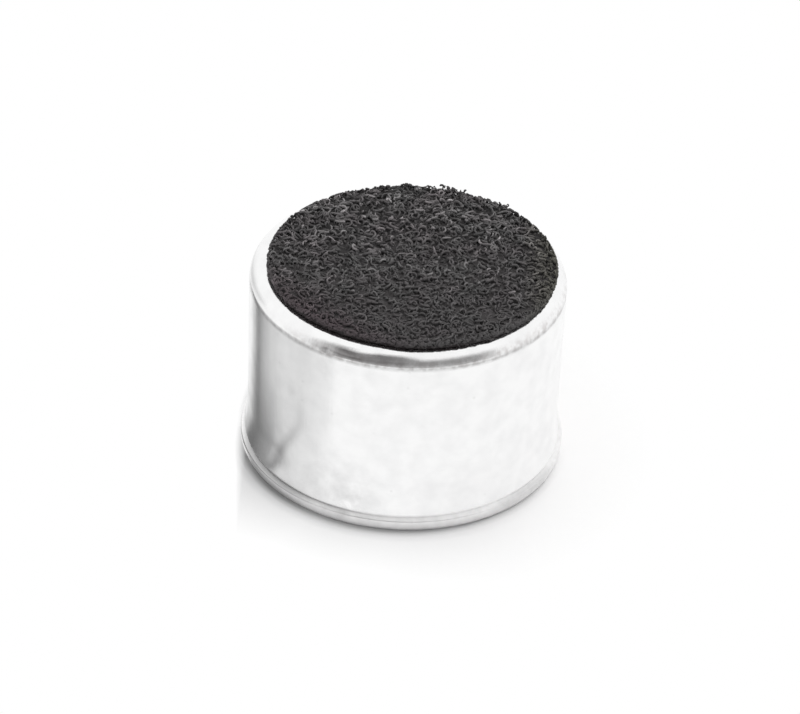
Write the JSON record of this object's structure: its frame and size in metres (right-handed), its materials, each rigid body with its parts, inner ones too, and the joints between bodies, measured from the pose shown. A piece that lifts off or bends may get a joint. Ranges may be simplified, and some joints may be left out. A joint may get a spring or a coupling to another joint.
{
  "type": "electret microphone capsule",
  "caption": "Round metal electret microphone capsule for a telephone: drawn can crimped over a circuit board, swollen foot with a rolled bead, black felt dust cover on the front.",
  "frame": {"origin": "centre of the crimped back, where the capsule stands", "axes": "+Z along the can's axis, from the crimped back to the felt; +X towards the ground terminal"},
  "size_m": [0.0102, 0.0102, 0.0067],
  "materials": {
    "felt": "black needle-punched felt, loose fibres",
    "adhesive": "double-sided tissue tape",
    "can_aluminium": "drawn, bright satin with fine draw lines",
    "ring_brass": "stamped, clean",
    "film": "metallised polymer film",
    "spacer": "clear polyester",
    "electret": "charged fluoropolymer",
    "chamber_plastic": "moulded, white",
    "laminate": "glass-fibre epoxy",
    "copper": "etched copper",
    "mask": "green solder lacquer",
    "solder": "tin solder, smooth",
    "lead_metal": "tinned",
    "package": "black moulded epoxy",
    "chip_ceramic": "tan, fired",
    "chip_metal": "tinned"
  },
  "bodies": {
    "root": {"felt_cover": "felt", "felt_adhesive": "adhesive", "can": "can_aluminium", "diaphragm_ring": "ring_brass", "diaphragm_film": "film", "spacer_washer": "spacer", "electret_layer": "electret", "backplate": "ring_brass", "chamber": "chamber_plastic", "contact_ring": "ring_brass", "circuit_board": "laminate", "gate_copper": "copper", "output_copper": "copper", "ground_copper": "copper", "solder_mask": "mask", "output_terminal_solder": "solder", "ground_terminal_solder": "solder", "transistor_body": "package", "gate_lead": "lead_metal", "output_lead": "lead_metal", "ground_lead": "lead_metal", "transistor_solder": "solder", "near_capacitor_body": "chip_ceramic", "near_capacitor_ends": "chip_metal", "far_capacitor_body": "chip_ceramic", "far_capacitor_ends": "chip_metal", "capacitor_solder": "solder"}
  },
  "joints": []
}
